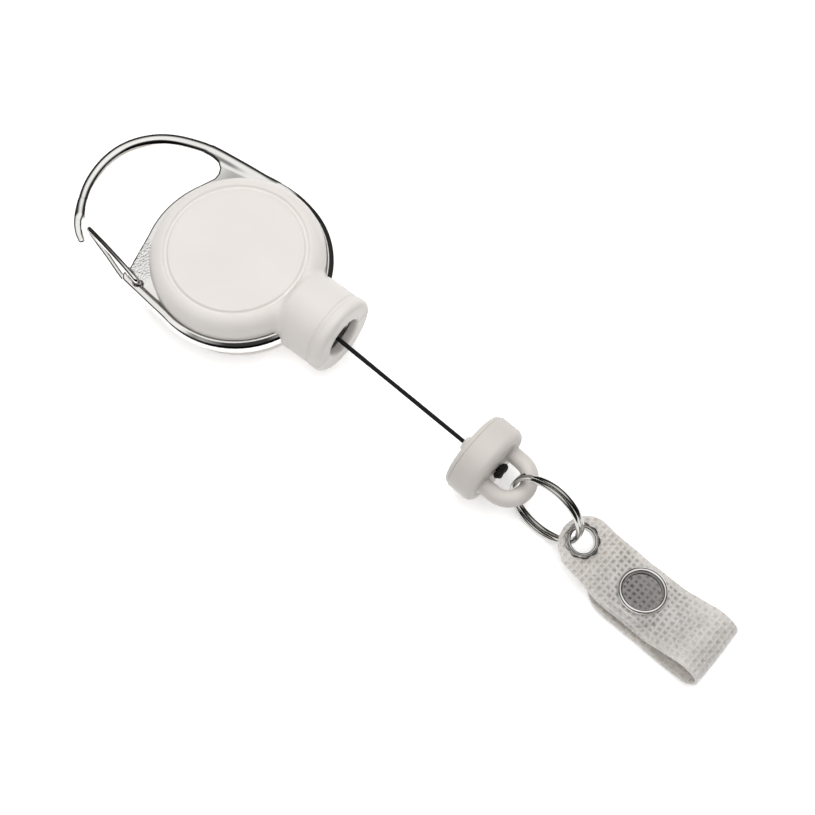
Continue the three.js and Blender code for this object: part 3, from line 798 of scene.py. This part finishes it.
# ---------------------------------------------------------------- split ring: two flat turns
t = np.linspace(0, 1, 260)
turn = 2 * math.pi * (1.94 * t + 0.42)
step = ease((t - 0.42) / 0.16) - 0.5
ring = np.stack([RING["radius"] * np.cos(turn), RING["radius"] * np.sin(turn), RING["pitch"] * step], -1)
tilt = np.array(Matrix.Rotation(RING["tilt"], 3, "X"))
ring = ring @ tilt.T + np.array([RING["centre"], 0, RING["drop"]])
ring_up = tilt @ np.array([0, 0, 1])
points, faces = swept(ring, rounded_rectangle(RING["half"], RING["half"], RING["edge"], 4), up=ring_up)
mesh_object("key_ring", tail_point(points), faces, "ring", ["split_ring"], nickel)

# ---------------------------------------------------------------- badge strap: one folded strip
upper_leaf = [(69.9, -1.4), (74.5, -2.1), (79.5, -4.2), (83.5, -5.4), (88.4, -5.5), (93.4, -5.4),
              (97.5, -3.4), (101.5, -1.6), (104.6, -2.5), (105.9, -4.3), (105.3, -5.7)]
lower_leaf = [(104.8, -6.3), (103.4, -6.9), (100, -7.3), (95, -7.3), (88.4, -7.2), (83, -7.2), (78.6, -7.1)]
strap_line = even(spline(upper_leaf + lower_leaf, 14), 0.05)
strap_run = np.concatenate([[0], np.cumsum(np.linalg.norm(np.diff(strap_line, axis=0), axis=1))])
strap_length = strap_run[-1]
snap_run = float(np.interp(SNAP["along"], strap_line[:len(strap_line) // 2, 0],
                           strap_run[:len(strap_line) // 2]))
strap_look = strap_material(snap_run)
fold_run = strap_run[np.argmax(strap_line[:, 0] - 0.2 * strap_line[:, 1])]
strap_tangent = np.gradient(strap_line, axis=0)
strap_tangent /= np.linalg.norm(strap_tangent, axis=1)[:, None]


def strap_place(u, v, n):
    """Millimetres along, across and off the strip's middle surface, in the tail's frame."""
    at = [np.interp(u, strap_run, strap_line[:, i]) for i in range(2)]
    dx, dz = (np.interp(u, strap_run, strap_tangent[:, i]) for i in range(2))
    size = np.hypot(dx, dz)
    dx, dz = dx / size, dz / size
    shift = STRAP["shift"] + STRAP["skew"] * ease((u - fold_run + 3) / 6)
    return np.stack(np.broadcast_arrays(at[0] - dz * n, v + shift, at[1] + dx * n), -1)


def strap_half_width(u):
    tab, full = STRAP["tab"] / 2, STRAP["width"] / 2
    widening = tab + (full - tab) * ease((u - 7) / 8)
    start = np.sqrt(np.clip(tab ** 2 - (tab - np.clip(u, 0, tab)) ** 2, 0, None)) / tab
    back = strap_length - u
    end = np.sqrt(np.clip(full ** 2 - (full - np.clip(back, 0, full)) ** 2, 0, None)) / full
    return widening * start * end


row_step = 0.26
tab_half, full_half = STRAP["tab"] / 2, STRAP["width"] / 2
start_rows = tab_half * (1 - np.cos(np.radians(np.linspace(3, 90, 24))))
end_rows = strap_length - full_half * (1 - np.cos(np.radians(np.linspace(90, 3, 24))))
middle_rows = np.linspace(tab_half, strap_length - full_half,
                          int((strap_length - tab_half - full_half) / row_step))[1:-1]
rows = np.concatenate([start_rows, middle_rows, end_rows])
columns = 51
across = np.linspace(-1, 1, columns)
edge_round = 0.13
half = strap_half_width(rows)
grid_u = np.repeat(rows[:, None], columns, 1)
grid_v = across[None, :] * np.maximum(half - edge_round, 0.02)[:, None]
eyelet_run = float(np.interp(EYELET["along"], strap_line[:400, 0], strap_run[:400]))
hole = EYELET["hole"] + 0.42
near = np.hypot(grid_u - eyelet_run, grid_v)
centre_u = (grid_u[1:, 1:] + grid_u[:-1, :-1] + grid_u[1:, :-1] + grid_u[:-1, 1:]) / 4
centre_v = (grid_v[1:, 1:] + grid_v[:-1, :-1] + grid_v[1:, :-1] + grid_v[:-1, 1:]) / 4
cut = np.hypot(centre_u - eyelet_run, centre_v) < hole
touched = np.zeros(grid_u.shape, int)
for di in (0, 1):
    for dj in (0, 1):
        touched[di:len(rows) - 1 + di, dj:columns - 1 + dj] += np.where(cut, 1, 0)
border = (touched > 0) & (touched < 4)
factor = np.where(border, hole / np.maximum(near, 1e-6), 1)
grid_u, grid_v = eyelet_run + (grid_u - eyelet_run) * factor, grid_v * factor


def strap_relief(u, v):
    """A pucker round the press stud, and a slight wave along the strip's edges."""
    away = np.hypot(u - snap_run, v - SNAP["shift"])
    tipped = (SNAP["lift"] + (u - snap_run) * math.tan(SNAP["rise"])
              + (v - SNAP["shift"]) * math.tan(SNAP["roll"]))
    tipped = tipped * ease((8.5 - away) / 4.5)
    dish = tipped - 0.28 * np.exp(-(away / 2.6) ** 2) + 0.16 * np.exp(-((away - 5.3) / 1.0) ** 2)
    wave = 0.10 * np.sin(u * 0.55 + 1.3) * (v / 6.3) ** 2 + 0.06 * np.sin(u * 1.4) * (v / 6.3) ** 4
    return dish + wave * ease((u - 6) / 5)


relief = strap_relief(grid_u, grid_v)
top = strap_place(grid_u, grid_v, relief + STRAP["thick"] / 2)
under = strap_place(grid_u, grid_v, relief - STRAP["thick"] / 2)
side_relief = strap_relief(rows[:, None], np.stack([-half, half], -1))
sides_mid = strap_place(np.repeat(rows[:, None], 2, 1), np.stack([-half, half], -1), side_relief)
n_rows = len(rows)
count = n_rows * columns
points = np.vstack([top.reshape(-1, 3), under.reshape(-1, 3), sides_mid.reshape(-1, 3)])
side_uv = np.stack([np.repeat(rows[:, None], 2, 1), np.stack([-half, half], -1)], -1)
flat_uv = np.vstack([np.stack([grid_u, grid_v], -1).reshape(-1, 2)] * 2 + [side_uv.reshape(-1, 2)])


def top_id(i, j):
    return i * columns + j


def under_id(i, j):
    return count + i * columns + j


def side_id(i, k):
    return 2 * count + 2 * i + k


faces = []
for i in range(n_rows - 1):
    for j in range(columns - 1):
        if not cut[i, j]:
            faces.append((top_id(i, j), top_id(i + 1, j), top_id(i + 1, j + 1), top_id(i, j + 1)))
            faces.append((under_id(i, j), under_id(i, j + 1), under_id(i + 1, j + 1), under_id(i + 1, j)))
    last = columns - 1
    faces.append((top_id(i, 0), side_id(i, 0), side_id(i + 1, 0), top_id(i + 1, 0)))
    faces.append((side_id(i, 0), under_id(i, 0), under_id(i + 1, 0), side_id(i + 1, 0)))
    faces.append((top_id(i, last), top_id(i + 1, last), side_id(i + 1, 1), side_id(i, 1)))
    faces.append((side_id(i, 1), side_id(i + 1, 1), under_id(i + 1, last), under_id(i, last)))
for i, order in ((0, 1), (n_rows - 1, -1)):
    loop = ([top_id(i, j) for j in range(columns)] + [side_id(i, 1)]
            + [under_id(i, j) for j in range(columns - 1, -1, -1)] + [side_id(i, 0)])
    faces.append(tuple(loop[::order]))
for i in range(n_rows - 1):
    for j in range(columns - 1):
        if not cut[i, j]:
            continue
        if not cut[i - 1, j]:
            faces.append((top_id(i, j), top_id(i, j + 1), under_id(i, j + 1), under_id(i, j))[::-1])
        if not cut[i + 1, j]:
            faces.append((top_id(i + 1, j), top_id(i + 1, j + 1), under_id(i + 1, j + 1), under_id(i + 1, j)))
        if not cut[i, j - 1]:
            faces.append((top_id(i, j), top_id(i + 1, j), under_id(i + 1, j), under_id(i, j)))
        if not cut[i, j + 1]:
            faces.append((top_id(i, j + 1), top_id(i + 1, j + 1), under_id(i + 1, j + 1),
                          under_id(i, j + 1))[::-1])
strap = mesh_object("badge_strap", tail_point(points), faces, None, ["strap_upper_leaf", "strap_lower_leaf"],
                    strap_look, 50)
uv_layer = strap.data.uv_layers.new(name="flat")
loop_vertex = np.zeros(len(strap.data.loops), int)
strap.data.loops.foreach_get("vertex_index", loop_vertex)
uv_layer.data.foreach_set("uv", flat_uv[loop_vertex].astype(np.float32).ravel())
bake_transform(strap)


# ---------------------------------------------------------------- eyelet and press stud
def on_strap(points, along, height, slope=0.0, y=0.0, roll=0.0):
    """A lathed shape rolled about the strap's length, sloped along it, and set at a place on it."""
    c, s = math.cos(roll), math.sin(roll)
    x, across, above = points.T
    across, above = across * c - above * s, across * s + above * c
    c, s = math.cos(slope), math.sin(slope)
    p = np.stack([x * c - above * s, across, x * s + above * c], -1)
    return tail_point(p + np.array([along, STRAP["shift"] + y, height]))


def on_snap(points):
    """A shape set on the lifted, tipped seat of the press stud."""
    return on_strap(points, SNAP["along"], SNAP["height"] + SNAP["lift"], SNAP["rise"], SNAP["shift"],
                    SNAP["roll"])


rim_roll = 0.3
eyelet = ([(EYELET["hole"], -0.75), (EYELET["hole"] + 0.22, -0.85), (EYELET["hole"] + 0.3, -0.6),
           (EYELET["hole"] + 0.3, 0.45), (EYELET["flange"] + 0.02, 0.42)]
          + arc(EYELET["hole"] + rim_roll + 0.05, 0.62, rim_roll, 0, 180, 12))
points, faces = lathe(eyelet, 72)
mesh_object("eyelet_rim", on_strap(points, EYELET["along"], EYELET["height"], EYELET["slope"]), faces,
            "strap", ["eyelet"], nickel, 50)


def petals(radius, height, turn):
    reach = 0.3 * (0.5 + 0.5 * math.cos(9 * turn)) ** 0.7
    return np.where(radius > EYELET["flange"] - 0.2, radius + reach, radius)


crimp = [(EYELET["hole"] + 0.35, 0.33), (EYELET["flange"], 0.31), (EYELET["flange"] + 0.1, 0.36),
         (EYELET["flange"], 0.44), (EYELET["hole"] + 0.6, 0.52), (EYELET["hole"] + 0.35, 0.5)]
points, faces = lathe(crimp, 108, petals)
back = [(r, -z) for r, z in crimp][::-1]
more, more_faces = lathe(back, 108, petals)
points, faces = join((points, faces), (more, more_faces))
mesh_object("eyelet_petals", on_strap(points, EYELET["along"], EYELET["height"], EYELET["slope"]), faces,
            "strap", ["eyelet_washer"], steel, 40)

outer_ring = ([(SNAP["hole"] + 0.02, 0.35), (SNAP["radius"] - 0.25, 0.35)]
              + arc(SNAP["radius"] - 0.5, 0.8, 0.5, -40, 150, 14)
              + [(SNAP["radius"] - 0.95, 0.6), (SNAP["hole"] + 0.1, 0.42)])
points, faces = lathe(outer_ring, 96)
mesh_object("snap_ring", on_snap(points), faces, "strap",
            ["snap_prong_ring"], chrome, 50)
cup = [(0.9, -0.75), (3.9, -0.62), (4.1, -0.72), (4.0, -0.95), (2.4, -1.05), (2.2, -1.3), (1.25, -1.3),
       (1.2, -1.0), (0.9, -0.9)]
points, faces = lathe(cup, 72)
mesh_object("snap_socket_cup", on_snap(points), faces, "strap",
            ["snap_socket"], steel, 40)
post = [(0.02, -0.62), (1.5, -0.6), (1.55, -0.45), (0.8, 0.38), (0.72, 0.8), (0.78, 1.1), (0.7, 1.3),
        (0.45, 1.4), (0.02, 1.42)]
points, faces = lathe(post, 48)
mesh_object("snap_post", on_strap(points, SNAP["along"], SNAP["back"], y=SNAP["shift"]), faces, "strap_flap",
            ["snap_stud"], steel, 40)
back_cap = [(0.02, -0.78), (2.6, -0.76), (3.9, -0.52), (4.2, -0.42), (4.15, -0.34), (3.8, -0.38),
            (2.5, -0.5), (0.02, -0.5)]
points, faces = lathe(back_cap, 96)
mesh_object("snap_back", on_strap(points, SNAP["along"], SNAP["back"], y=SNAP["shift"]), faces,
            "strap_flap", ["snap_back_ring"], chrome, 50)

# ---------------------------------------------------------------- CAD nodes that stay
for name, look in (("spool", dark_plastic), ("spool_flange", dark_plastic), ("spring_retainer", steel),
                   ("cord_winding", cord_look), ("power_spring", steel), ("arbor", turned_steel),
                   ("case_pin", turned_steel)):
    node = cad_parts[name]
    node.data.materials.clear()
    node.data.materials.append(look)

# ---------------------------------------------------------------- floor and light
floor_half = 0.6
FLOOR_GLOW = 0.34                                  # lifts the floor to the photograph's white
floor_mesh = bpy.data.meshes.new("floor")
floor_z = -0.0001
floor_mesh.from_pydata([(-floor_half, -floor_half, floor_z), (floor_half + 0.1, -floor_half, floor_z),
                        (floor_half + 0.1, floor_half, floor_z), (-floor_half, floor_half, floor_z)], [],
                       [(0, 1, 2, 3)])
floor = bpy.data.objects.new("floor", floor_mesh)
scene.collection.objects.link(floor)
floor_look, floor_tree, floor_shader = node_material("floor_look")
link(floor_tree, mixed(floor_tree, noise(floor_tree, 30, 3), (0.95, 0.95, 0.95), (0.965, 0.965, 0.965)),
     floor_shader.inputs["Base Color"])
floor_shader.inputs["Roughness"].default_value = 0.9
floor_shader.inputs["Emission Color"].default_value = (1, 1, 1, 1)
floor_shader.inputs["Emission Strength"].default_value = FLOOR_GLOW
floor_mesh.materials.append(floor_look)


def studio_world():
    """A bright overcast dome with a dark band at the horizon and a dark side, by direction only."""
    world = bpy.data.worlds.new("studio")
    scene.world = world
    world.use_nodes = True
    tree = world.node_tree
    background = tree.nodes["Background"]
    coordinates = tree.nodes.new("ShaderNodeTexCoord")
    direction = coordinates.outputs["Generated"]
    apart = tree.nodes.new("ShaderNodeSeparateXYZ")
    link(tree, direction, apart.inputs[0])
    ramp = tree.nodes.new("ShaderNodeValToRGB")
    link(tree, apart.outputs[2], ramp.inputs[0])
    stops = ramp.color_ramp.elements
    stops[0].position, stops[0].color = 0.0, (0.5, 0.5, 0.5, 1)
    stops[1].position, stops[1].color = 0.02, (0.02, 0.02, 0.02, 1)
    for place, level in ((0.64, 0.03), (0.75, 0.30), (0.85, 0.82), (0.97, 0.92)):
        stop = stops.new(place)
        stop.color = (level, level * 0.995, level * 0.985, 1)
    toward = tree.nodes.new("ShaderNodeVectorMath")
    toward.operation = "DOT_PRODUCT"
    link(tree, direction, toward.inputs[0])
    toward.inputs[1].default_value = Vector((0.61, -0.70, 0.50)).normalized()
    side = spread(tree, toward.outputs["Value"], 1.0, 0.05, 0.72, 0.84)
    link(tree, ramp.outputs[0], background.inputs["Color"])
    link(tree, math_node(tree, "MULTIPLY", side, 1.13), background.inputs["Strength"])


studio_world()


def soft_light(name, place, target, size, power):
    data = bpy.data.lights.new(name, "AREA")
    data.shape = "DISK"
    data.size = size
    data.energy = power
    lamp = bpy.data.objects.new(name, data)
    scene.collection.objects.link(lamp)
    lamp.location = place
    lamp.rotation_euler = (Vector(target) - Vector(place)).to_track_quat("-Z", "Y").to_euler()
    return lamp


key = soft_light("key", (-0.25, 0.35, 0.65), (0.03, 0, 0), 0.6, 3.0)
key.visible_glossy = False
fill = soft_light("fill", (0.15, -0.15, 0.8), (0.03, 0, 0), 0.8, 3.5)
fill.visible_glossy = False
scene.view_settings.view_transform = "Standard"
